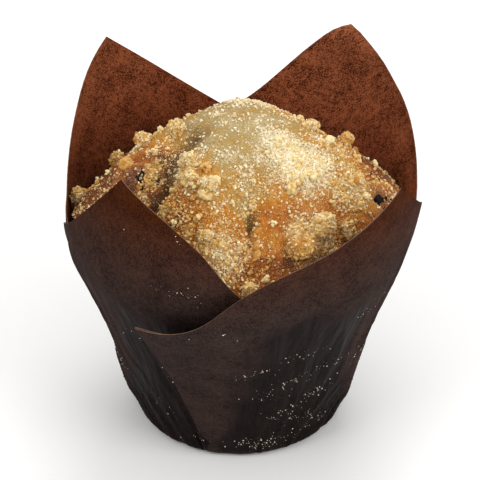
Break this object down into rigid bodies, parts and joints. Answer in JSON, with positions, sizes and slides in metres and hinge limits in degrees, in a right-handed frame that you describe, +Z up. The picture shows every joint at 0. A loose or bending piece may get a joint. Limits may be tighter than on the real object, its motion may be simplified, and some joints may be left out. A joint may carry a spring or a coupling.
{
  "type": "crumble-topped berry muffin in a folded paper case",
  "caption": "Domed berry muffin with a sugared crumble top, baked in a dark tulip-shaped paper case with tall pointed petals.",
  "frame": {"origin": "centre of the case's flat foot, on the surface it stands on", "axes": "+Z up out of the case, -Y towards the side where the widest flap overlaps, +X to the right seen from there"},
  "size_m": [0.0892, 0.0996, 0.0869],
  "materials": {
    "paper": "dyed greaseproof paper, dry and matt above, darker and glossier where fat has soaked in",
    "crumb": "baked crumb, pale khaki to golden brown, matt",
    "crumble": "pale yellow butter crumble with sugar grains, matt",
    "berry": "baked berry skin, near black, slightly glossy"
  },
  "bodies": {
    "root": {"berry_left": "berry", "berry_right": "berry", "cake": "crumb", "crumb_cluster_left": "crumble", "crumb_cluster_right": "crumble", "crumb_cluster_top": "crumble", "crumb_front_big": "crumble", "crumb_front_low": "crumble", "crumb_front_small": "crumble", "crumb_left_back": "crumble", "crumb_left_flat": "crumble", "crumb_left_high": "crumble", "crumb_left_rim": "crumble", "crumb_left_top": "crumble", "crumb_low_left": "crumble", "crumb_low_middle": "crumble", "crumb_right_peak": "crumble", "crumb_right_ridge": "crumble", "paper_case": "paper"}
  },
  "joints": []
}
